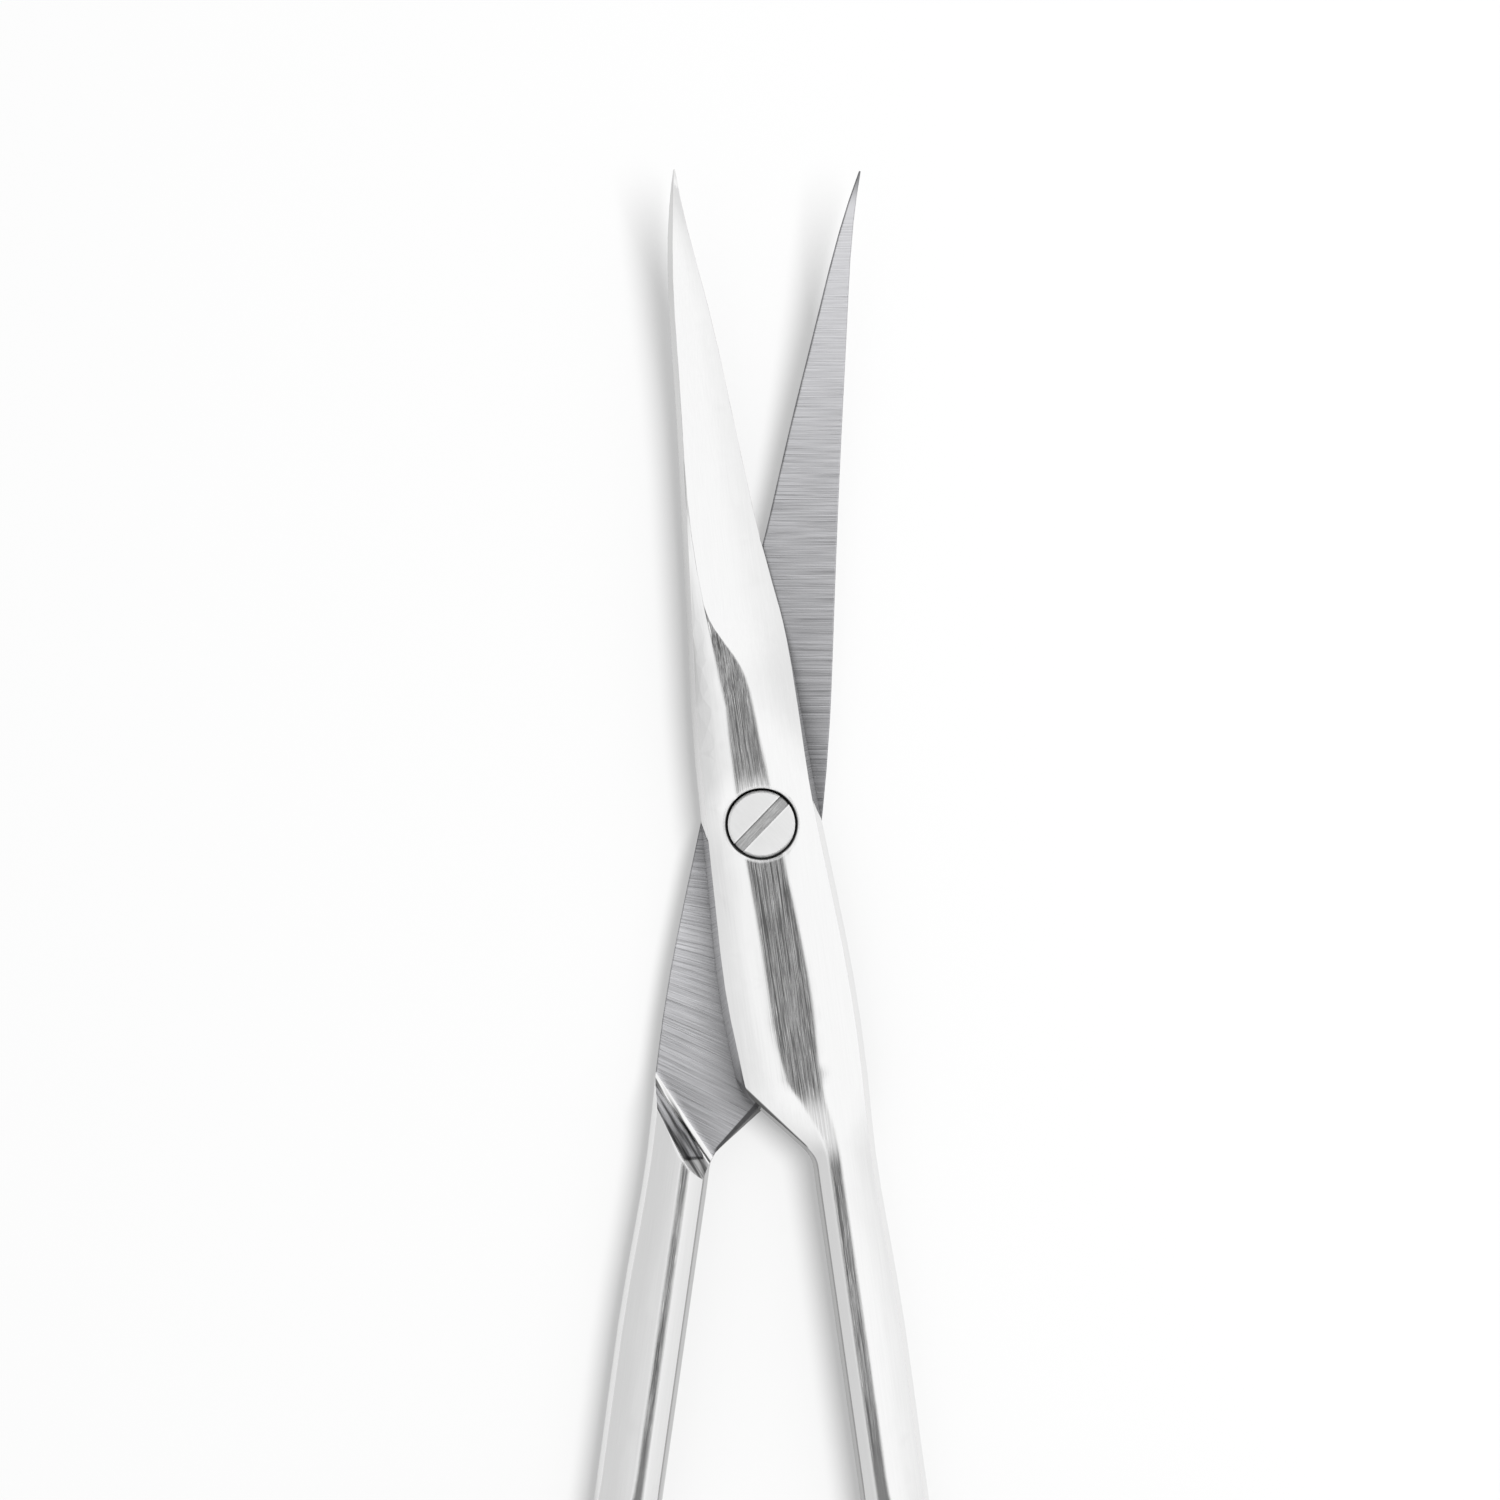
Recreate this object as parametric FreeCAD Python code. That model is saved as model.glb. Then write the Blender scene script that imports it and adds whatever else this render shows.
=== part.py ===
import FreeCAD, Part
import math
import os

Vector = FreeCAD.Vector

# Cuticle scissors: two forged halves that cross at a slotted shoulder screw.
# Millimetres and degrees. The pivot axis is Z, the tips point along +Y, and the scissors lie
# flat with their underside on Z = 0.

# Pose: the angle between the halves as they lie.
opening_angle = 16.2

# Both halves together, at the pivot, and each handle.
thickness = 3.5
lap_clearance = 0.04
facet_grind = 0.03
lap_sweep = 240.0
seam_tolerance = 0.0005
near = 0.01

# Blade, measured from the pivot.
blade_length = 32.9
curve_start = 9.0
tip_rise = 3.2
taper_start = 6.7
tip_width = 0.10
tip_thickness = 0.20
edge_land = 0.05
ridge_width = 0.015
spine_draft = 0.27
upper_tip_offset = 0.28
lower_tip_offset = -0.26
spine_share = 0.96

# Ricasso, the broad part that the screw goes through, and its shoulder.
ricasso_width = 6.0
ricasso_length = 13.35
ricasso_wall = 1.27
ricasso_draft = 0.27
shoulder_draft = 0.4
front_draft = 0.28
facet_width = 1.3
facet_offset = 0.23
blade_facet = 1.2
blade_offset = -0.17
flank_swell = 8.0
shoulder_run = 3.5
shoulder_rounding = 0.5
stop_clearance = 0.35
shoulder_bevel = 0.5
bevel_depth = 1.2
bevel_reach = 1.6
step_run = 1.08
step_fillet = 0.8

# Shank, from the shoulder to the finger ring.
shank_width = 3.4
shank_gap = 0.3
shank_wall = 1.05
shank_inner_wall = 1.32
shank_draft = 0.25
upper_shank_facet = 0.5
lower_shank_facet = 0.28
upper_setback = 0.83
lower_setback = 1.05
waist_depth = 0.2

# Finger ring, an oval loop.
ring_reach = 54.0
ring_hole_width = 17.0
ring_hole_length = 22.0
ring_end_share = 0.82
ring_band = 3.0
ring_rounding = 1.2
ring_chamfer = 0.9
ring_blend = 3.4
notch_radius = 2.0

# Pivot screw: slotted head, plain shoulder, threaded tail.
head_diameter = 3.36
head_height = 0.9
head_dome = 0.08
head_chamfer = 0.12
head_gap = 0.12
shoulder_diameter = 2.4
tail_diameter = 2.0
pin_clearance = 0.03
slot_width = 0.6
slot_depth = 0.45
slot_angle = 46.0

# Derived places that several features share.
half_thickness = thickness / 2
half_forging = half_thickness + facet_grind
half_width = ricasso_width / 2
shank_inner = shank_gap / 2
shank_outer = shank_inner + shank_width
shoulder_end = ricasso_length + shoulder_run
shoulder_margin = 2 * shoulder_rounding
rim_limit = 0.4 * min(ring_band, thickness, shank_width)
rounding = min(ring_rounding, rim_limit)
chamfer = min(ring_chamfer, rim_limit)
ring_end_radius = ring_end_share * ring_hole_width / 2
ring_side_radius = ((ring_hole_width / 2) ** 2 + (ring_hole_length / 2 - ring_end_radius) ** 2
                    - ring_end_radius ** 2) / (ring_hole_width - 2 * ring_end_radius)
ring_centre = Vector(shank_inner + ring_band + ring_hole_width / 2, -ring_reach, 0)
bend_radius = ((blade_length - curve_start) ** 2 + tip_rise ** 2) / (2 * tip_rise)

# The notch between the shank and the ring, and the plane above it where the ring takes over.
notch_across = shank_inner + ring_side_radius + ring_band - shank_outer
notch_rise = math.sqrt((ring_side_radius + ring_band) ** 2 - notch_across ** 2)
notch_angle = math.atan2(notch_rise, notch_across)
notch_reach = notch_radius / math.tan(notch_angle / 2)
ring_top = notch_rise - ring_reach + notch_reach + chamfer

# Outlines as (share of the blade or ricasso length, share of half the ricasso width).
upper_back = [(0.14, 0.935), (0.29, 0.79), (0.46, 0.625), (0.66, 0.43), (0.77, 0.343), (0.88, 0.215)]
lower_back = [(0.14, 0.92), (0.29, 0.76), (0.46, 0.563), (0.66, 0.353), (0.77, 0.243), (0.88, 0.138)]
ricasso_back = [(1.25, 0.94), (1.0, 1.007), (0.82, 1.063), (0.66, 1.10), (0.46, 1.09), (0.25, 1.045)]
upper_edge = [(0.24, 0.887), (0.32, 0.815), (0.42, 0.67), (0.52, 0.57), (0.63, 0.48), (0.78, 0.35),
              (0.9, 0.19)]
lower_edge = [(0.24, 0.887), (0.32, 0.79), (0.42, 0.645), (0.51, 0.555), (0.62, 0.45), (0.766, 0.285),
              (0.91, 0.11)]
ricasso_front = [(0.97, 1.167), (0.52, 1.15), (0.17, 1.05)]

# Where the ground faces start and end, as shares of the blade, ricasso and shoulder lengths.
edge_share = 0.33
grind_shares = (0.20, 0.34)
spine_shares = (0.10, 0.60)
broad_share = 0.60
crease_share = 0.90
pinch_shares = (0.75, 0.47)
taper_share = 0.10

# The most of a section's width that its draft and its ridge take, near the tip.
draft_limit = 0.3
ridge_limit = 0.2


def spline(knots):
    """Smooth curve through (station, value) knots, as a function of the station."""
    ordered = sorted(knots)
    curve = Part.BSplineCurve()
    points = [Vector(station, value, 0) for station, value in ordered]
    curve.interpolate(Points=points, Parameters=[station for station, value in ordered])
    return lambda station: curve.value(station).y


def ramp(distance, blend):
    """Zero before the start, the distance after it, with a rounded corner between."""
    if distance <= -blend:
        return 0.0
    if distance >= blend:
        return distance
    return (distance + blend) ** 2 / (4 * blend)


def step(distance, run, blend):
    """Rises from 0 to 1 over a run, with both corners rounded."""
    return (ramp(distance, blend) - ramp(distance - run, blend)) / run


def ease(place, start, end):
    """Goes gently from 0 at the start to 1 at the end."""
    share = min(1.0, max(0.0, (place - start) / (end - start)))
    return share * share * (3 - 2 * share)


def mix(first, second, share):
    return first + (second - first) * share


def spread(start, end, count):
    return [mix(start, end, i / count) for i in range(count)]


def scaled(shares, length, width):
    return [(share * length, offset * width) for share, offset in shares]


def bend_height(reach):
    """Rise of the curved blades above their flat part, at a distance from the pivot."""
    run = max(0.0, reach - curve_start)
    return bend_radius - math.sqrt(bend_radius ** 2 - run ** 2)


class HalfGuides:
    """Curves that give the section of one half at any station along its length.

    The half is drawn closed and with its outer face up: the back of the blade is at -X, the
    cutting edge and the handle are at +X, and the joint face is at Z = 0."""

    def __init__(self, back_shares, edge_shares, tip_offset, setback, shank_facet):
        self.shank_facet = shank_facet
        self.shank_centre = shank_inner + setback + 0.5 * shank_facet
        tip_back = (blade_length, tip_width / 2 - tip_offset)
        tip_front = (blade_length, tip_width / 2 + tip_offset)
        self.back = spline(scaled(ricasso_back, -ricasso_length, half_width) + [(0, half_width)]
                           + scaled(back_shares, blade_length, half_width) + [tip_back])
        waist = (-shoulder_end, shank_outer - waist_depth)
        shank = [waist] + [(mix(-shoulder_end, ring_top, share), shank_outer) for share in (0.35, 0.7, 1.0)]
        self.front = spline(shank + scaled(ricasso_front, -ricasso_length, half_width) + [(0, half_width)]
                            + scaled(edge_shares, blade_length, half_width) + [tip_front])

    def section(self, y):
        """Named sizes of the section at a station."""
        shoulder = step(-y - ricasso_length, shoulder_run, shoulder_rounding)
        crease = ease(-y, crease_share * ricasso_length, shoulder_end)
        pinch_end = ricasso_length + pinch_shares[1] * shoulder_run
        pinch = ease(-y, pinch_shares[0] * ricasso_length, pinch_end)
        broad = ease(-y, 0, broad_share * ricasso_length)
        narrow = ease(-y, 0, ricasso_length)
        blade = ease(y, 0, edge_share * blade_length)
        grind = ease(y, grind_shares[0] * blade_length, grind_shares[1] * blade_length)
        spine = ease(y, spine_shares[0] * blade_length, spine_shares[1] * blade_length)
        ring = ease(-y, -ring_top - ring_blend, -ring_top)

        slope = (half_forging - tip_thickness) / (blade_length - taper_start)
        top = half_forging - slope * ramp(y - taper_start, taper_share * blade_length)
        back = self.back(max(y, -ricasso_back[0][0] * ricasso_length))
        left = mix(-back, shank_inner, shoulder)
        right = self.front(y)
        wide = right - left

        blade_draft = min(spine_draft, draft_limit * wide)
        back_draft = mix(mix(ricasso_draft, shoulder_draft, narrow), blade_draft, blade)
        left_draft = mix(back_draft, shank_draft, shoulder)
        right_draft = mix(mix(front_draft, draft_limit * edge_land, blade), shank_draft, shoulder)
        left_wall = mix(mix(ricasso_wall, spine_share * top, spine), shank_inner_wall, shoulder)
        right_wall = mix(mix(ricasso_wall, edge_land, blade), shank_wall, shoulder)

        half_facet = mix(mix(0.5 * blade_facet, 0.5 * facet_width, broad), 0.5 * self.shank_facet, pinch)
        centre = mix(mix(blade_offset, facet_offset, broad), self.shank_centre, crease)
        ridge = min(ridge_width, ridge_limit * wide)
        facet_left = mix(centre - half_facet, left + left_draft + 0.5 * ridge, spine)
        facet_right = mix(centre + half_facet, facet_left + ridge, grind)
        facet_left = min(facet_left, facet_right - ridge)

        return {
            "left": left,
            "right": right,
            "top": top,
            "left_draft": left_draft * (1 - ring),
            "right_draft": right_draft * (1 - ring),
            "left_wall": mix(left_wall, half_forging - chamfer, ring),
            "right_wall": mix(right_wall, half_forging - chamfer, ring),
            "facet_left": mix(facet_left, left + chamfer, ring),
            "facet_right": mix(facet_right, right - chamfer, ring),
            "swell": math.radians(flank_swell * (1 - ring)),
        }


def flank(start, end, swell):
    """Control points of an arc between two corners, which leaves its chord at the swell angle."""
    chord = end - start
    outward = Vector(chord.z, 0, -chord.x)
    handle = 1 / (3 * math.cos(swell / 2) ** 2)
    along = chord * (handle * math.cos(swell))
    aside = outward * (handle * math.sin(swell))
    return [start, start + along + aside, end - along + aside, end]


def section_edges(size, y, rise):
    """Control points of the edges round a section: walls, flanks and facets, above and below."""
    right_corner = Vector(size["right"] - size["right_draft"], 0, size["right_wall"])
    right_crease = Vector(size["facet_right"], 0, size["top"])
    left_crease = Vector(size["facet_left"], 0, size["top"])
    left_corner = Vector(size["left"] + size["left_draft"], 0, size["left_wall"])
    above = [right_corner, right_crease, left_crease, left_corner]
    below = [Vector(p.x, 0, -p.z) for p in reversed(above)]
    corners = [Vector(size["right"], 0, 0)] + above + [Vector(size["left"], 0, 0)] + below
    corners = [p + Vector(0, y, rise) for p in corners]
    edges = []
    for i, start in enumerate(corners):
        end = corners[(i + 1) % len(corners)]
        is_flank = i in (1, 3, 6, 8)
        edges.append(flank(start, end, size["swell"]) if is_flank else [start, end])
    return edges


def section_face(edges):
    """Flat end of the body, on one of its sections."""
    curves = []
    for points in edges:
        curve = Part.BezierCurve()
        curve.setPoles(points)
        curves.append(curve.toShape())
    return Part.Face(Part.Wire(curves))


def strip_face(rows, stations):
    """Smooth face through one edge of every section; each row runs along the body."""
    rails = []
    for row in rows:
        rail = Part.BSplineCurve()
        rail.interpolate(Points=row, Parameters=stations)
        rails.append(rail)
    order = len(rails)
    surface = Part.BSplineSurface()
    surface.buildFromPolesMultsKnots([rail.getPoles() for rail in rails],
                                     [order, order], rails[0].getMultiplicities(),
                                     [0, 1], rails[0].getKnots(), False, False, order - 1, rails[0].Degree)
    return surface.toShape()


def forged_body(guides, bend):
    """Blade, ricasso and shank as one skinned solid, still at full thickness."""
    stations = spread(ring_top, -shoulder_end - shoulder_margin, 7)
    stations += spread(-shoulder_end - shoulder_margin, shoulder_margin - ricasso_length, 11)
    stations += spread(shoulder_margin - ricasso_length, 0, 5)
    stations += spread(0, blade_length, 16)
    stations.append(blade_length)
    sections = [section_edges(guides.section(y), y, bend * bend_height(y)) for y in stations]
    faces = [section_face(sections[0]), section_face(sections[-1])]
    for i, edge in enumerate(sections[0]):
        rows = [[section[i][k] for section in sections] for k in range(len(edge))]
        faces.append(strip_face(rows, stations))
    shell = Part.Shell(faces)
    shell.sewShape()
    body = Part.Solid(shell)
    if body.Volume < 0:
        body.reverse()
    return body


def oval(outset):
    """Oval of four arcs round the finger hole, moved out by the outset, as a face."""
    half_wide = ring_hole_width / 2 + outset
    half_long = ring_hole_length / 2 + outset
    end_centre = Vector(0, ring_hole_length / 2 - ring_end_radius, 0)
    side_centre = Vector(ring_hole_width / 2 - ring_side_radius, 0, 0)
    corner = end_centre + (end_centre - side_centre).normalize() * (ring_end_radius + outset)
    corners = [Vector(corner.x, corner.y, 0), Vector(-corner.x, corner.y, 0),
               Vector(-corner.x, -corner.y, 0), Vector(corner.x, -corner.y, 0)]
    middles = [Vector(0, half_long, 0), Vector(-half_wide, 0, 0),
               Vector(0, -half_long, 0), Vector(half_wide, 0, 0)]
    arcs = [Part.Arc(corners[i], middles[i], corners[(i + 1) % 4]).toShape() for i in range(4)]
    face = Part.Face(Part.Wire(arcs))
    face.translate(ring_centre)
    return face


def finger_ring():
    """Oval loop that grows out of the shank's end, chamfered outside and rounded in the hole."""
    up = Vector(0, 0, 2 * half_forging)
    stem = Part.makePlane(shank_width, ring_top + ring_reach, Vector(shank_inner, -ring_reach, 0))
    blank = oval(ring_band).fuse(stem).removeSplitter().extrude(up)
    notch = [e for e in blank.Edges
             if e.BoundBox.ZLength > 0.5 * thickness and abs(e.BoundBox.XMin - shank_outer) < near
             and e.BoundBox.YMax < ring_top - near]
    blank = blank.makeFillet(notch_radius, notch)
    rims = [e for e in blank.Edges if e.BoundBox.ZLength < near and e.BoundBox.YMin < ring_top - near]
    hole = oval(0).extrude(up)
    blank = blank.makeChamfer(chamfer, rims).cut(hole)
    around = hole.BoundBox
    around.enlarge(near)
    rims = [e for e in blank.Edges if e.BoundBox.ZLength < near and around.isInside(e.BoundBox)]
    blank = blank.makeFillet(rounding, rims)
    blank.translate(Vector(0, 0, -half_forging))
    return blank


def facet_cutter():
    """What the flat facets of the handle and ricasso are ground down from, above and below."""
    low = Vector(-2 * ring_reach, -2 * ring_reach, half_thickness)
    slab = Part.makeBox(4 * ring_reach, 2 * ring_reach + curve_start, thickness, low)
    return slab.fuse(slab.mirror(Vector(0, 0, 0), Vector(0, 0, 1)))


def lap_cutter(bend):
    """Everything below the joint face of the blade: flat round the pivot, then curved."""
    reach = 1.1 * blade_length
    depth = thickness + tip_rise
    start = Vector(curve_start, 0, lap_clearance)
    middle_reach = (curve_start + reach) / 2
    middle = Vector(middle_reach, 0, bend * bend_height(middle_reach) + lap_clearance)
    end = Vector(reach, 0, bend * bend_height(reach) + lap_clearance)
    outline = [
        Part.LineSegment(Vector(0, 0, lap_clearance), start),
        Part.Arc(start, middle, end),
        Part.LineSegment(end, Vector(reach, 0, -depth)),
        Part.LineSegment(Vector(reach, 0, -depth), Vector(0, 0, -depth)),
        Part.LineSegment(Vector(0, 0, -depth), Vector(0, 0, lap_clearance)),
    ]
    face = Part.Face(Part.Wire([line.toShape() for line in outline]))
    return face.revolve(Vector(0, 0, 0), Vector(0, 0, 1), lap_sweep)


def step_cutter(guides):
    """Everything below the joint face of the ricasso, as far as the step where the handle thickens."""
    corner = Vector(guides.back(-ricasso_length), -ricasso_length, 0)
    root = Vector(-shank_inner, -shoulder_end, 0)
    along = (root - corner).normalize()
    outward = Vector(-along.y, along.x, 0)
    foot = corner.dot(outward) + stop_clearance
    turn = math.atan2(half_thickness, step_run)
    tangent = step_fillet * math.tan(turn / 2)
    depth = thickness

    def at(distance, z):
        return outward * distance + Vector(0, 0, z)

    fillet_start = at(foot - tangent, lap_clearance)
    fillet_middle = at(foot - tangent + step_fillet * math.sin(turn / 2),
                       lap_clearance - step_fillet * (1 - math.cos(turn / 2)))
    fillet_end = at(foot + tangent * math.cos(turn), lap_clearance - tangent * math.sin(turn))
    slope_end = at(foot + depth / math.tan(turn), lap_clearance - depth)
    outline = [
        Part.LineSegment(at(0, lap_clearance), fillet_start),
        Part.Arc(fillet_start, fillet_middle, fillet_end),
        Part.LineSegment(fillet_end, slope_end),
        Part.LineSegment(slope_end, at(0, lap_clearance - depth)),
        Part.LineSegment(at(0, lap_clearance - depth), at(0, lap_clearance)),
    ]
    face = Part.Face(Part.Wire([line.toShape() for line in outline]))
    face.translate(along * -2 * ricasso_length)
    return face.extrude(along * 4 * ricasso_length)


def shoulder_cutter(guides):
    """What a bevel takes off the joint side of the shoulder, running out at its root."""
    corner = Vector(-guides.back(-ricasso_length), -ricasso_length, 0)
    root = Vector(shank_inner, -shoulder_end, 0)
    along = (corner - root).normalize()
    outward = Vector(-along.y, along.x, 0)
    reach = bevel_reach * (corner - root).Length
    end = root + along * reach
    inset = end - outward * shoulder_bevel * bevel_reach
    beyond = end + outward * shoulder_bevel * bevel_reach
    high = beyond + Vector(0, 0, 2 * bevel_depth * bevel_reach)
    corners = [(inset, beyond, high), (root, inset, high), (root, high, beyond), (root, beyond, inset)]
    faces = [Part.Face(Part.makePolygon([p, q, r, p])) for p, q, r in corners]
    return Part.Solid(Part.Shell(faces))


def post(diameter, low, high):
    """Round post on the pivot axis."""
    return Part.makeCylinder(diameter / 2, high - low, Vector(0, 0, low))


def half(guides, bend):
    """One forged half, before its screw hole."""
    body = forged_body(guides, bend).fuse([finger_ring()], seam_tolerance)
    body = body.cut(facet_cutter()).cut(lap_cutter(bend)).cut(step_cutter(guides))
    body = body.cut(shoulder_cutter(guides))
    return body.removeSplitter()


def upper_half():
    """The half that carries the screw head, in a counterbore."""
    seat = half_thickness - head_height
    guides = HalfGuides(upper_back, upper_edge, upper_tip_offset, upper_setback, upper_shank_facet)
    body = half(guides, 1)
    body = body.cut(post(shoulder_diameter + 2 * pin_clearance, -thickness, thickness))
    body = body.cut(post(head_diameter + 2 * head_gap, seat, thickness))
    body.translate(Vector(0, 0, half_thickness))
    body.rotate(Vector(0, 0, 0), Vector(0, 0, 1), opening_angle / 2)
    return body


def lower_half():
    """The half that the screw's tail is threaded into, outer face down."""
    guides = HalfGuides(lower_back, lower_edge, lower_tip_offset, lower_setback, lower_shank_facet)
    body = half(guides, -1)
    body = body.cut(post(tail_diameter + 2 * pin_clearance, -thickness, thickness))
    body.rotate(Vector(0, 0, 0), Vector(0, 1, 0), 180)
    body.translate(Vector(0, 0, half_thickness))
    body.rotate(Vector(0, 0, 0), Vector(0, 0, 1), -opening_angle / 2)
    return body


def pivot_screw():
    """Domed, slotted head on a plain shoulder and a tail that ends flush with the underside."""
    seat = thickness - head_height
    head_radius = head_diameter / 2
    corners = [
        Vector(0, 0, seat),
        Vector(head_radius, 0, seat),
        Vector(head_radius, 0, thickness - head_chamfer),
        Vector(head_radius - head_chamfer, 0, thickness),
    ]
    apex = Vector(0, 0, thickness + head_dome)
    dome = Part.BezierCurve()
    dome.setPoles([corners[-1], Vector(head_radius / 2, 0, thickness + head_dome), apex])
    outline = [Part.LineSegment(corners[i], corners[i + 1]) for i in range(3)]
    outline += [dome, Part.LineSegment(apex, corners[0])]
    face = Part.Face(Part.Wire([line.toShape() for line in outline]))
    head = face.revolve(Vector(0, 0, 0), Vector(0, 0, 1), 360)
    slot = Part.makeBox(2 * head_diameter, slot_width, thickness,
                        Vector(-head_diameter, -slot_width / 2, thickness - slot_depth))
    slot.rotate(Vector(0, 0, 0), Vector(0, 0, 1), slot_angle)
    joint_face = half_thickness - lap_clearance
    screw = head.cut(slot)
    screw = screw.fuse(post(shoulder_diameter, joint_face, seat))
    screw = screw.fuse(post(tail_diameter, 0, joint_face))
    return screw.removeSplitter()


os.makedirs("parts", exist_ok=True)
solids = {"upper_half": upper_half(), "lower_half": lower_half(), "pivot_screw": pivot_screw()}
for name, solid in solids.items():
    solid.exportStep("parts/" + name + ".step")
    print(name, "solids", len(solid.Solids), "valid", solid.isValid(), "volume", round(solid.Volume, 2))
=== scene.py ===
import bpy
import math
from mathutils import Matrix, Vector

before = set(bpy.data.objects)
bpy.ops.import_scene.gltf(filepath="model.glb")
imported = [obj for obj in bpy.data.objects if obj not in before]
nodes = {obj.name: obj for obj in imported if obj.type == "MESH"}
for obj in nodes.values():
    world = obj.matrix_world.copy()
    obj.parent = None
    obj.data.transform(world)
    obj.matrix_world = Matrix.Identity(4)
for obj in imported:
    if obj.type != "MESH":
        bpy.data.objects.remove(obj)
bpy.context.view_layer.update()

# Lengths are in millimetres and angles in degrees, where nothing else is said; Blender works in metres.
MM = 0.001

# A half is named by the side that its joint face looks to, up or down.
UPPER = -1
LOWER = 1

# Sizes of the scissors that the finishes follow.
OPENING_ANGLE = 16.2
MID_PLANE = 1.75
LAP_CLEARANCE = 0.04
CURVE_START = 9.0
BEND_RADIUS = 90.85
COUNTERBORE_RADIUS = 1.8
HEAD_TOP = 3.5
SLOT_ANGLE = 46.0
SLOT_WIDTH = 0.6
SLOT_DEPTH = 0.45
SLOT_BEVEL = 0.1
TIP_START = 30.0

# The lap step and the shoulder lie along slanting lines: their slope and their distances from the pivot.
STEP_LINE = (0.782, 0.623)
STEP_PLACE = 10.94
STEP_RUN = 1.3
SHOULDER_PLACE = 10.335
SHOULDER_BEVEL = 0.13
SHOULDER_FLARE = 0.16

# Edge radii: left by the forging, by polishing, and added on the ground face.
CRISP_EDGE = 0.03
ROLLED_EDGE = 0.25
GROUND_EDGE = 0.07

# Dips in the polished surface: round the counterbore, less behind it, and where the facet meets the shank.
DISH_WIDTH = 1.4
DISH_DEPTH = 0.11
DISH_SHARES = (0.4, 1.0)
CREASE_DIP = 0.4

# How far the grinding lines lean over, on the blade and at the step.
LEAN_TOP = -0.14
LEAN_END = 0.35

# A band holds the value where a mask begins and the value where it is full.
# Bands of distance along a half, from the pivot towards the tip.
ROLLED_BAND = (11.0, 7.0)
RING_BAND = (-36.0, -28.0)
RICASSO_END_BAND = (-11.0, -13.0)
SPINE_BAND = (0.0, 8.0)
DISH_BAND = (-1.5, 1.5)
CREASE_TOP_BAND = (-13.2, -14.2)
CREASE_FOOT_BAND = (-18.5, -17.0)
CREASE_DIP_BAND = (-13.0, -17.8)
LEAN_BAND = (2.0, -14.0)
BLADE_BAND = (4.0, 30.0)
RICASSO_BAND = (1.0, -4.0)
STEP_BAND = (-5.0, -15.0)
LINED_BAND = (TIP_START + 1.0, TIP_START)
TIP_BAND = (TIP_START + 1.0, TIP_START + 2.8)

# Bands of other distances: to the joint face, the middle plane, the step, the shoulder, the axis or the top.
JOINT_FACE_BAND = (0.06, 0.03)
JOINT_SIDE_BAND = (0.0, 0.1)
ROLLED_HEIGHT_BAND = (1.4, 1.6)
FACET_HEIGHT_BAND = (1.1, 1.3)
INNER_HEIGHT_BAND = (0.75, 1.15)
STEP_FRONT_BAND = (-0.2, 0.0)
STEP_BACK_BAND = (STEP_RUN + 0.3, STEP_RUN)
SHOULDER_ROOT_BAND = (-0.1, 0.1)
SHOULDER_BEVEL_BAND = (0.0, 0.08)
SHOULDER_WALL_BAND = (-0.24, -0.16)
SEAT_RADIUS_BAND = (1.03 * COUNTERBORE_RADIUS, COUNTERBORE_RADIUS)
SEAT_TOP_BAND = (HEAD_TOP - 0.01, HEAD_TOP - 0.08)
SEAT_FOOT_BAND = (MID_PLANE, MID_PLANE + 0.2)
GAP_RADIUS_BAND = (0.9 * COUNTERBORE_RADIUS, 0.92 * COUNTERBORE_RADIUS)
GAP_TOP_BAND = (HEAD_TOP - 0.12, HEAD_TOP - 0.2)
SLOT_FLOOR_BAND = (HEAD_TOP - 0.8 * SLOT_DEPTH, HEAD_TOP - 0.9 * SLOT_DEPTH)
SLOT_HIGHLIGHT_BAND = (SLOT_BEVEL, 0.4 * SLOT_BEVEL)
SLOT_SHADE_BAND = (SLOT_WIDTH / 2 - SLOT_BEVEL, SLOT_WIDTH / 2 - 0.4 * SLOT_BEVEL)

# Bands of a part of a face's normal: how far it looks up, to the side or ahead.
JOINT_UP_BAND = (0.7, 0.8)
FACET_UP_BAND = (0.985, 0.998)
WALL_UP_BAND = (0.6, 0.45)
INNER_SIDE_BAND = (0.0, 0.3)
SPINE_SIDE_BAND = (0.25, 0.5)
EDGE_SHADE_SIDE_BAND = (-0.04, -0.2)
RISER_AHEAD_BAND = (0.15, 0.3)

# Noise: the size of its grains, the layer that it is cut from, and the band that sharpens it.
FINE_GRAIN = (0.045, 4.0, 0.06)
FINE_BAND = (0.3, 0.7)
HAIR_GRAIN = (0.05, 1.2)
HAIR_LAYER = 3.0
HAIR_BAND = (0.62, 0.72)
BROAD_GRAIN = (0.45, 9.0, 0.45)
MARK_GRAIN = (0.2, 3.0)
MARK_LAYER = 5.0
MARK_BAND = (0.38, 0.62)
SCRATCH_GRAIN = (0.06, 6.0)
SCRATCH_LAYER = 0.0
SCRATCH_BAND = (0.25, 0.75)
SCRATCH_ROUGHNESS = 0.65
DEEP_GRAIN = (0.08, 8.0)
DEEP_LAYER = 7.0
DEEP_BAND = (0.62, 0.68)
SLOT_GRAIN = (0.6, 0.05, 0.3)
HEAD_GRAIN = (0.07, 0.9, 0.3)
SCREW_DETAIL = 3.0
MEAN_NOISE = 0.5
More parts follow.
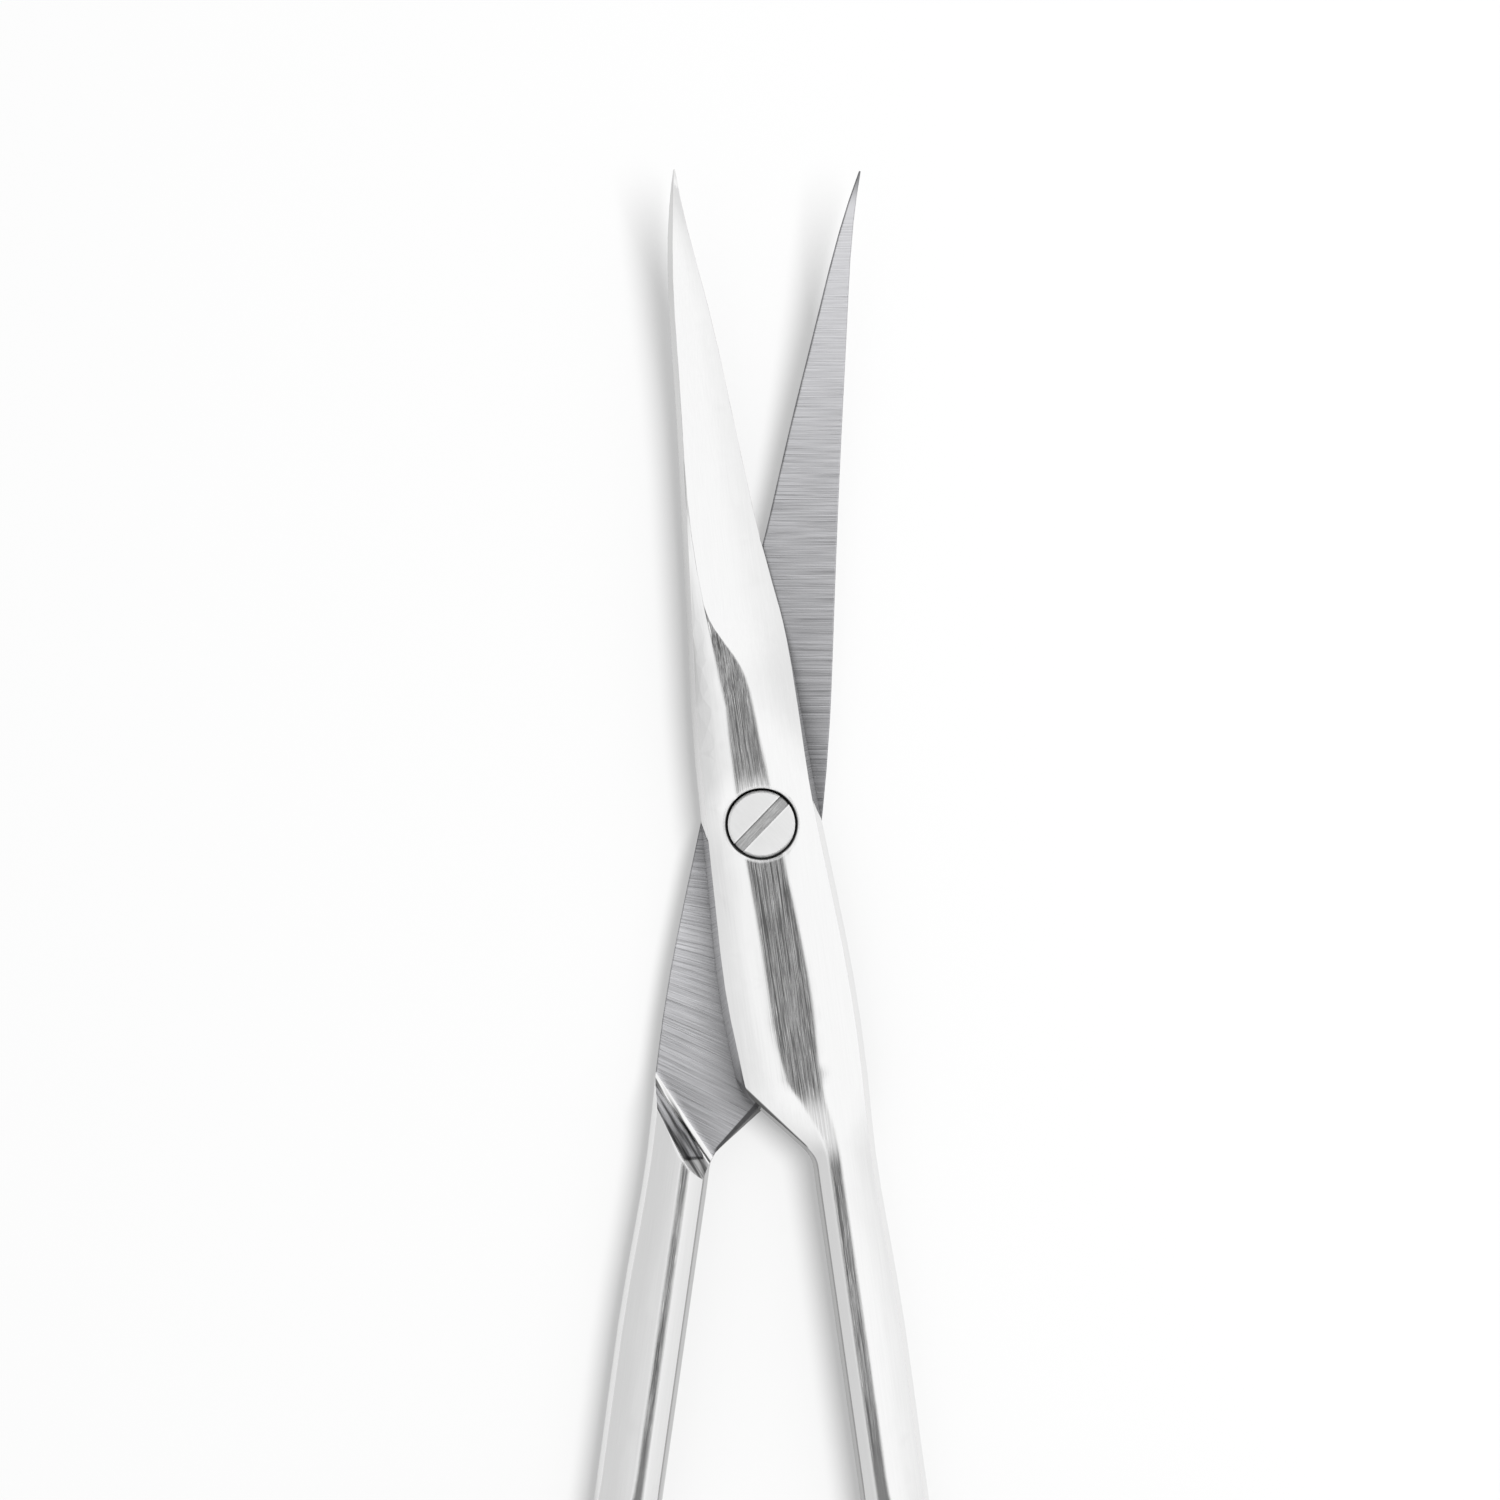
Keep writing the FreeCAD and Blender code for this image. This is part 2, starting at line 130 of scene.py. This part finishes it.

# Brightness of the polished faces and how much their streaks change it, with painted reflection on the flat
# facets and painted shade on the walls, the spine, the shoulder and the counterbore.
POLISH_LEVEL = 0.9
POLISH_STREAK = 0.02
FACET_REFLECTION_LEVEL = 0.43
FACET_STREAK = 0.34
FACET_HAIR = 0.4
CREASE_REFLECTION_LIFT = 0.4
WALL_SHADE_LEVEL = 0.55
WALL_SHADE_OPEN = 0.25
INNER_SHADE_LEVELS = (0.36, 0.06)
SPINE_SHADE = 0.27
RISER_LEVEL = 0.2
RISER_MARK = 0.8
SHOULDER_SHADE_LEVEL = 0.12
SEAT_SHADE = 0.8

# Brightness of the ground joint face: painted light and shade along the blade, then what is added or taken
# away, with painted shade near the other half and along the cutting edge.
BLADE_LEVELS = (0.57, 0.7)
RICASSO_GAIN = 0.22
STEP_LOSS = 0.18
TIP_LOSS = 0.45
SCRATCH_CHANGE = 0.26
DEEP_LOSS = 0.2
CREVICE_SHADE_REACH = 2.0
CREVICE_SHADE_LEVEL = 0.15
CUTTING_EDGE_SHADE = 0.6
BLUE_TINT = 0.03

# Roughness: at its least or mean, and how much the noise changes it.
POLISH_ROUGH = 0.06
POLISH_ROUGH_STREAK = 0.12
GROUND_ROUGH = 0.32
GROUND_ROUGH_SCRATCH = 0.12
SCREW_ROUGH = 0.45
SCREW_ROUGH_GRAIN = 0.1

# Relief of the noise.
FINE_RELIEF = 0.004
BROAD_RELIEF = 0.006
SCRATCH_RELIEF = 0.004
HEAD_RELIEF = 0.002
SLOT_RELIEF = 0.006

# Brightness of the screw, with painted highlights on the slot's edges, painted shade in the slot and a
# painted shadow ring at the gap.
HEAD_LEVEL = 0.91
HEAD_GRAIN_CHANGE = 0.06
SLOT_HIGHLIGHT_LEVEL = 1.0
SLOT_SHADE_LEVEL = 0.58
SLOT_GRAIN_CHANGE = 0.7
SLOT_SHADE = 0.5
GAP_SHADE = 0.8

# Samples of the nodes that look round a point.
EDGE_SAMPLES = 4

# Camera, straight above the scissors; its clipping distances are in metres.
VIEW_CENTRE = (-0.575, 3.7)
VIEW_WIDTH = 75.0
VIEW_LEVEL = 3.0
CAMERA_HEIGHT = 500.0
SENSOR_WIDTH = 36.0
CLIP_START = 0.01
CLIP_END = 100

# Floor: half its width in metres, how far it lies below the scissors, its glow and its grey.
FLOOR_REACH = 3.0
FLOOR_DROP = 0.02
FLOOR_GLOW = 0.36
FLOOR_COLOUR = 0.25

# Key light, in watts and metres.
KEY_POWER = 11.2
KEY_SIZE = 0.36
KEY_PLACE = (0.25, 0.05, 0.75)

# Studio that the steel mirrors. The dark patch overhead fades out between two angles from straight up.
# The bands to the left and right are of a direction's sideways part.
OVERHEAD_LEVEL = 0.23
OVERHEAD_EDGE = (17.0, 7.0)
LEFT_BAND = (-0.2, -0.8)
LEFT_LEVELS = (1.04, 0.7)
RIGHT_BAND = (0.6, 1.0)
RIGHT_LEVELS = (1.0, 0.78)
BACKDROP_LEVEL = 1.0


class Graph:
    """Builds a node tree from arithmetic on its sockets."""

    def __init__(self, tree):
        self.tree = tree

    def node(self, kind, **settings):
        node = self.tree.nodes.new(kind)
        for name, value in settings.items():
            setattr(node, name, value)
        return node

    def plug(self, value, target):
        if isinstance(value, Wire):
            self.tree.links.new(value.socket, target)
        else:
            target.default_value = value

    def math(self, operation, *values):
        node = self.node("ShaderNodeMath", operation=operation)
        for value, target in zip(values, node.inputs):
            self.plug(value, target)
        return Wire(self, node.outputs[0])

    def step(self, value, band, levels=(0.0, 1.0)):
        """Smooth change from one level to another as a value crosses a band."""
        node = self.node("ShaderNodeMapRange", interpolation_type="SMOOTHSTEP")
        self.plug(value, node.inputs["Value"])
        for item, name in zip((*band, *levels), ("From Min", "From Max", "To Min", "To Max")):
            self.plug(item, node.inputs[name])
        return Wire(self, node.outputs[0])

    def mix(self, share, first, second):
        return first + (second - first) * share

    def vector(self, x, y, z):
        node = self.node("ShaderNodeCombineXYZ")
        for item, target in zip((x, y, z), node.inputs):
            self.plug(item, target)
        return Wire(self, node.outputs[0])

    def split(self, socket):
        node = self.node("ShaderNodeSeparateXYZ")
        self.tree.links.new(socket, node.inputs[0])
        return [Wire(self, output) for output in node.outputs]

    def noise(self, place, grain, layer=None, detail=2.0, roughness=0.5):
        """Noise with grains of a given size, cut from a layer where the place has only two axes."""
        axes = [axis / size for axis, size in zip(place, grain)]
        if layer is not None:
            axes.append(layer)
        node = self.node("ShaderNodeTexNoise")
        node.inputs["Scale"].default_value = 1.0
        node.inputs["Detail"].default_value = detail
        node.inputs["Roughness"].default_value = roughness
        self.plug(self.vector(*axes), node.inputs["Vector"])
        return Wire(self, node.outputs[0])

    def grey(self, level, blue=1.0):
        node = self.node("ShaderNodeCombineColor")
        for item, target in zip((level, level, level * blue), node.inputs):
            self.plug(item, target)
        return Wire(self, node.outputs[0])

    def bevel(self, radius):
        node = self.node("ShaderNodeBevel", samples=EDGE_SAMPLES)
        self.plug(radius, node.inputs["Radius"])
        return Wire(self, node.outputs[0])

    def openness(self, distance):
        """One in the open, and less where other surfaces are near."""
        node = self.node("ShaderNodeAmbientOcclusion", samples=EDGE_SAMPLES)
        node.inputs["Distance"].default_value = distance
        return Wire(self, node.outputs["AO"])

    def bump(self, height, distance, normal=None):
        node = self.node("ShaderNodeBump")
        node.inputs["Distance"].default_value = distance
        self.plug(height, node.inputs["Height"])
        if normal:
            self.plug(normal, node.inputs["Normal"])
        return Wire(self, node.outputs[0])


class Wire:
    """A node's output, which can be added, scaled and so on."""

    def __init__(self, graph, socket):
        self.graph = graph
        self.socket = socket

    def __add__(self, other):
        return self.graph.math("ADD", self, other)

    def __radd__(self, other):
        return self.graph.math("ADD", other, self)

    def __sub__(self, other):
        return self.graph.math("SUBTRACT", self, other)

    def __rsub__(self, other):
        return self.graph.math("SUBTRACT", other, self)

    def __mul__(self, other):
        return self.graph.math("MULTIPLY", self, other)

    def __rmul__(self, other):
        return self.graph.math("MULTIPLY", other, self)

    def __truediv__(self, other):
        return self.graph.math("DIVIDE", self, other)


def new_material(name):
    material = bpy.data.materials.new(name)
    material.use_nodes = True
    return material, Graph(material.node_tree), material.node_tree.nodes["Principled BSDF"]


def place(graph):
    """Position on the piece, in millimetres."""
    coordinates = graph.node("ShaderNodeTexCoord")
    return [axis * (1 / MM) for axis in graph.split(coordinates.outputs["Object"])]


def facing(graph):
    """Which way a face looks."""
    geometry = graph.node("ShaderNodeNewGeometry")
    return graph.split(geometry.outputs["True Normal"])


class HalfFaces:
    """Where a point lies on a half, and masks that say which of its faces it belongs to."""

    def __init__(self, g, side):
        self.side = side
        turn = math.radians(-side * OPENING_ANGLE / 2)
        x, y, self.z = place(g)
        self.across = x * math.cos(turn) + y * math.sin(turn)
        self.along = y * math.cos(turn) - x * math.sin(turn)
        self.beside = self.across * side
        self.radius = g.math("SQRT", x * x + y * y)
        self.outward = g.math("ABSOLUTE", self.z - MID_PLANE)
        self.sideways, self.ahead, self.upward = facing(g)
        self.ground = self.joint_face(g)
        self.soft_normal = self.worn_edges(g)
        self.mark_faces(g)
        self.mark_step(g)
        self.mark_shoulder(g)
        # Painted shade: the colour is darkened where other surfaces are near, on the walls and on the joint
        # face.
        near = g.openness(CREVICE_SHADE_REACH * MM)
        self.shade = near * near

    def joint_face(self, g):
        """The joint face is flat round the pivot, then curved on the blade."""
        run = g.math("MAXIMUM", self.radius - CURVE_START, 0.0) * g.math("GREATER_THAN", self.along, 0.0)
        rise = BEND_RADIUS - g.math("SQRT", BEND_RADIUS ** 2 - run * run)
        joint_level = MID_PLANE - self.side * LAP_CLEARANCE
        height = g.math("ABSOLUTE", self.z - joint_level - rise)
        return g.step(height, JOINT_FACE_BAND) * g.step(self.upward * self.side, JOINT_UP_BAND)

    def worn_edges(self, g):
        """Polishing has rolled over the edges of the outer facets; the others are crisp."""
        rolled = g.step(self.outward, ROLLED_HEIGHT_BAND) * g.step(self.along, ROLLED_BAND)
        radius = CRISP_EDGE + rolled * (ROLLED_EDGE - CRISP_EDGE) + self.ground * GROUND_EDGE
        return g.bevel(radius * MM)

    def mark_faces(self, g):
        """Painted shade along the joint face's cutting edge, the flat facets, the walls, and the shank's
        wall that faces in.
        """
        leaning, _, level_face = g.split(self.soft_normal.socket)
        level_face = g.math("ABSOLUTE", level_face)
        # Painted shade: a dark line on the joint face where its edge rolls over towards the cutting edge.
        self.cutting_edge_shade = g.step(leaning * self.side, EDGE_SHADE_SIDE_BAND)
        self.facet = g.step(level_face, FACET_UP_BAND) * g.step(self.outward, FACET_HEIGHT_BAND)
        self.facet = self.facet * g.step(self.along, RING_BAND)
        if self.side == UPPER:
            # Painted reflection: near the crease the flat facets are painted less dark.
            crease = g.step(self.along, CREASE_TOP_BAND) * g.step(self.along, CREASE_FOOT_BAND)
            self.facet = self.facet * (1.0 - CREASE_REFLECTION_LIFT * crease)
        self.wall = g.step(level_face, WALL_UP_BAND)
        self.past_ricasso = g.step(self.along, RICASSO_END_BAND)
        self.inner = self.wall * self.past_ricasso * g.step(self.sideways * self.side, INNER_SIDE_BAND)

    def mark_step(self, g):
        """The riser of the lap step, and the distances across and along it."""
        self.past_step = -STEP_LINE[0] * self.beside - STEP_LINE[1] * self.along - STEP_PLACE
        self.along_step = STEP_LINE[1] * self.beside - STEP_LINE[0] * self.along
        self.riser = g.step(self.past_step, STEP_FRONT_BAND) * g.step(self.past_step, STEP_BACK_BAND)
        self.riser = self.riser * g.step((self.z - MID_PLANE) * self.side, JOINT_SIDE_BAND)
        self.riser = self.riser * g.step(self.ahead, RISER_AHEAD_BAND)

    def mark_shoulder(self, g):
        """Where painted shade goes at the end of the shoulder: a strip that stands in for a bevel and widens
        on the joint side, and a steep wall on the other.
        """
        past = STEP_LINE[0] * self.beside - STEP_LINE[1] * self.along - SHOULDER_PLACE
        here = g.step(self.beside, SHOULDER_ROOT_BAND) * self.past_ricasso
        past_bevel = past + SHOULDER_BEVEL + SHOULDER_FLARE * self.beside
        self.shoulder_shade_strip = g.step(past_bevel, SHOULDER_BEVEL_BAND) * here
        self.shoulder_wall_shade = g.step(past, SHOULDER_WALL_BAND) * here

    def seat(self, g):
        """The wall of the counterbore."""
        seat = g.step(self.radius, SEAT_RADIUS_BAND) * g.step(self.z, SEAT_TOP_BAND)
        return seat * g.step(self.z, SEAT_FOOT_BAND)

    def dish(self, g):
        """One at the rim of the counterbore, and less farther out and behind it."""
        rim = g.math("MAXIMUM", 1.0 - (self.radius - COUNTERBORE_RADIUS) / DISH_WIDTH, 0.0)
        return rim * rim * g.step(self.along, DISH_BAND, DISH_SHARES)


def polish(g, half):
    """Level, roughness and relief of the polished faces, with streaks along their length, and painted
    reflection and painted shade on facets, walls, spine and shoulder.
    """
    spot = (half.across, half.along, half.z)
    fine = g.step(g.noise(spot, FINE_GRAIN), FINE_BAND)
    hair = g.step(g.noise(spot, HAIR_GRAIN, HAIR_LAYER), HAIR_BAND)
    broad = g.noise(spot, BROAD_GRAIN)
    plain_level = POLISH_LEVEL + POLISH_STREAK * (fine - MEAN_NOISE)
    # Painted reflection: the flat facets are darker, as the dark patch overhead would mirror in them, with
    # polish streaks in it.
    level = g.mix(half.facet, plain_level, FACET_REFLECTION_LEVEL + FACET_STREAK * fine + FACET_HAIR * hair)
    # Painted shade: the steep walls are darker, and darkest where other surfaces are near.
    level = g.mix(half.wall, level, WALL_SHADE_LEVEL + WALL_SHADE_OPEN * half.shade)
    # Painted shade: the shank's wall that faces in is darkest along its top and lighter lower down.
    level = g.mix(half.inner, level, g.step(half.outward, INNER_HEIGHT_BAND, INNER_SHADE_LEVELS))
    relief = FINE_RELIEF * (fine - MEAN_NOISE) * half.facet + BROAD_RELIEF * broad
    relief = relief - DISH_DEPTH * half.dish(g)
    if half.side == UPPER:
        spine = g.step(half.sideways * half.side, SPINE_SIDE_BAND) * g.step(half.along, SPINE_BAND)
        level = level * (1.0 - SPINE_SHADE * spine)
        relief = relief - CREASE_DIP * g.step(half.along, CREASE_DIP_BAND)

    # The riser of the lap step keeps the marks of its own grinding, which run along it.
    marks = g.step(g.noise((half.past_step, half.along_step), MARK_GRAIN, MARK_LAYER), MARK_BAND)
    level = g.mix(half.riser, level, RISER_LEVEL + RISER_MARK * marks)
    # Painted shade on the shoulder's steep wall.
    level = g.mix(half.shoulder_wall_shade, level, SHOULDER_SHADE_LEVEL)
    return level, POLISH_ROUGH + POLISH_ROUGH_STREAK * fine * broad, relief


def grinding(g, half):
    """Level, roughness and relief of the joint face: lines across it, which lean over towards the handle."""
    along = half.along
    line = along + half.across * g.step(along, LEAN_BAND, (LEAN_TOP * half.side, LEAN_END))
    lined = g.step(along, LINED_BAND)
    scratch = g.noise((line, half.across), SCRATCH_GRAIN, SCRATCH_LAYER, roughness=SCRATCH_ROUGHNESS)
    scratch = (g.step(scratch, SCRATCH_BAND) - MEAN_NOISE) * lined
    deep = g.step(g.noise((line, half.across), DEEP_GRAIN, DEEP_LAYER), DEEP_BAND) * lined
    # Painted light and shade: the joint face is lighter and darker along its length, as its curve would
    # mirror the studio.
    level = g.step(along, BLADE_BAND, BLADE_LEVELS) + g.step(along, RICASSO_BAND) * RICASSO_GAIN
    level = level - g.step(along, STEP_BAND) * STEP_LOSS - g.step(along, TIP_BAND) * TIP_LOSS
    level = level + SCRATCH_CHANGE * scratch - DEEP_LOSS * deep
    # Painted shade on the joint face near the other half's wall, and a painted dark line along the cutting
    # edge.
    level = level * (CREVICE_SHADE_LEVEL + (1.0 - CREVICE_SHADE_LEVEL) * half.shade) * (1.0 - CUTTING_EDGE_SHADE * half.cutting_edge_shade)
    # Painted shade: a dark strip on the joint face along the shoulder's end, in place of a bevel.
    level = g.mix(half.shoulder_shade_strip, level, SHOULDER_SHADE_LEVEL)
    relief = SCRATCH_RELIEF * scratch - SCRATCH_RELIEF * deep
    return level, GROUND_ROUGH + GROUND_ROUGH_SCRATCH * scratch, relief


def steel_half(name, side):
    """Polished forging whose joint face is ground."""
    material, g, shader = new_material(name)
    half = HalfFaces(g, side)
    polished = polish(g, half)
    ground = grinding(g, half)
    level, roughness, relief = [g.mix(half.ground, *pair) for pair in zip(polished, ground)]
    level = level * (1.0 - SEAT_SHADE * half.seat(g))
    g.plug(g.grey(level, 1.0 + BLUE_TINT * half.ground), shader.inputs["Base Color"])
    g.plug(roughness, shader.inputs["Roughness"])
    g.plug(g.bump(relief, MM, half.soft_normal), shader.inputs["Normal"])
    shader.inputs["Metallic"].default_value = 1.0
    return material


def steel_screw(name):
    """Satin head with fine scratches, and a coarser slot; painted highlights along the slot's edges, painted
    shade in the slot and a painted dark ring at the gap round the head.
    """
    material, g, shader = new_material(name)
    x, y, z = place(g)
    turn = math.radians(SLOT_ANGLE)
    along = x * math.cos(turn) + y * math.sin(turn)
    across = y * math.cos(turn) - x * math.sin(turn)
    slot = g.step(z, SLOT_FLOOR_BAND)
    slot_highlight = g.step(g.math("ABSOLUTE", across) - SLOT_WIDTH / 2, SLOT_HIGHLIGHT_BAND)
    slot_shadow = g.step(across, SLOT_SHADE_BAND)
    gap_shadow = g.step(g.math("SQRT", x * x + y * y), GAP_RADIUS_BAND) * g.step(z, GAP_TOP_BAND)

    fine = g.noise((along, across, z), SLOT_GRAIN, detail=SCREW_DETAIL)
    cross = g.noise((along, across, z), HEAD_GRAIN, detail=SCREW_DETAIL)
    # Painted highlight along the slot's edges.
    head_level = g.mix(slot_highlight, HEAD_LEVEL + HEAD_GRAIN_CHANGE * (cross - MEAN_NOISE), SLOT_HIGHLIGHT_LEVEL)
    # Painted shade: the slot is darker, with its grain, and darker still along its upper-left wall.
    slot_level = (SLOT_SHADE_LEVEL + SLOT_GRAIN_CHANGE * (fine - MEAN_NOISE)) * (1.0 - SLOT_SHADE * slot_shadow)
    # Painted shadow: a dark ring at the gap round the head.
    level = g.mix(slot, head_level, slot_level) * (1.0 - GAP_SHADE * gap_shadow)
    roughness = SCREW_ROUGH + SCREW_ROUGH_GRAIN * g.mix(slot, cross, fine)
    g.plug(g.grey(level), shader.inputs["Base Color"])
    g.plug(roughness, shader.inputs["Roughness"])
    g.plug(g.bump(g.mix(slot, HEAD_RELIEF * cross, SLOT_RELIEF * fine), MM), shader.inputs["Normal"])
    shader.inputs["Metallic"].default_value = 1.0
    return material


def add_camera():
    data = bpy.data.cameras.new("camera")
    camera = bpy.data.objects.new("camera", data)
    bpy.context.scene.collection.objects.link(camera)
    camera.location = Vector((*VIEW_CENTRE, VIEW_LEVEL + CAMERA_HEIGHT)) * MM
    data.sensor_width = SENSOR_WIDTH
    data.lens = SENSOR_WIDTH * CAMERA_HEIGHT / VIEW_WIDTH
    data.clip_start = CLIP_START
    data.clip_end = CLIP_END
    bpy.context.scene.camera = camera


def floor_material():
    """Matt grey that also glows where it is seen, so that it looks white but still takes the shadow."""
    material = bpy.data.materials.new("floor")
    material.use_nodes = True
    g = Graph(material.node_tree)
    g.tree.nodes.clear()
    diffuse = g.node("ShaderNodeBsdfDiffuse")
    diffuse.inputs["Color"].default_value = (FLOOR_COLOUR, FLOOR_COLOUR, FLOOR_COLOUR, 1)
    path = g.node("ShaderNodeLightPath")
    seen = g.math("MAXIMUM", Wire(g, path.outputs["Is Camera Ray"]), Wire(g, path.outputs["Is Glossy Ray"]))
    seen = g.math("MAXIMUM", seen, Wire(g, path.outputs["Is Transmission Ray"]))
    glow = g.node("ShaderNodeEmission")
    g.plug(seen * FLOOR_GLOW, glow.inputs["Strength"])
    both = g.node("ShaderNodeAddShader")
    out = g.node("ShaderNodeOutputMaterial")
    g.tree.links.new(diffuse.outputs[0], both.inputs[0])
    g.tree.links.new(glow.outputs[0], both.inputs[1])
    g.tree.links.new(both.outputs[0], out.inputs["Surface"])
    material.cycles.emission_sampling = "NONE"
    return material


def add_floor():
    corners = [(-1, -1), (1, -1), (1, 1), (-1, 1)]
    mesh = bpy.data.meshes.new("floor")
    mesh.from_pydata([(x * FLOOR_REACH, y * FLOOR_REACH, 0) for x, y in corners], [], [(0, 1, 2, 3)])
    mesh.materials.append(floor_material())
    floor = bpy.data.objects.new("floor", mesh)
    floor.location.z = -FLOOR_DROP * MM
    bpy.context.scene.collection.objects.link(floor)


def add_key():
    data = bpy.data.lights.new("key", "AREA")
    data.shape = "DISK"
    data.size = KEY_SIZE
    data.energy = KEY_POWER
    key = bpy.data.objects.new("key", data)
    bpy.context.scene.collection.objects.link(key)
    key.location = KEY_PLACE
    key.rotation_euler = (-key.location).to_track_quat("-Z", "Y").to_euler()
    key.visible_glossy = False


def add_world():
    """White studio, a little greyer on the left, with a dark patch overhead that the flat facets mirror."""
    world = bpy.data.worlds.new("studio")
    bpy.context.scene.world = world
    world.use_nodes = True
    g = Graph(world.node_tree)
    g.tree.nodes.clear()
    sideways, _, upward = g.split(g.node("ShaderNodeTexCoord").outputs["Generated"])
    overhead_band = [math.cos(math.radians(angle)) for angle in OVERHEAD_EDGE]
    overhead = g.step(upward, overhead_band, (1.0, OVERHEAD_LEVEL))
    studio = overhead * g.step(sideways, LEFT_BAND, LEFT_LEVELS) * g.step(sideways, RIGHT_BAND, RIGHT_LEVELS)
    path = g.node("ShaderNodeLightPath")
    level = g.mix(Wire(g, path.outputs["Is Camera Ray"]), studio, BACKDROP_LEVEL)
    back = g.node("ShaderNodeBackground")
    back.inputs["Color"].default_value = (1, 1, 1, 1)
    g.plug(level, back.inputs["Strength"])
    out = g.node("ShaderNodeOutputWorld")
    g.tree.links.new(back.outputs[0], out.inputs["Surface"])


def dress(node, material):
    node.data.materials.clear()
    node.data.materials.append(material)


add_camera()
add_floor()
add_key()
add_world()
dress(nodes["upper_half"], steel_half("polished_steel_upper", UPPER))
dress(nodes["lower_half"], steel_half("polished_steel_lower", LOWER))
dress(nodes["pivot_screw"], steel_screw("screw_steel"))

bpy.context.scene.view_settings.view_transform = "Standard"
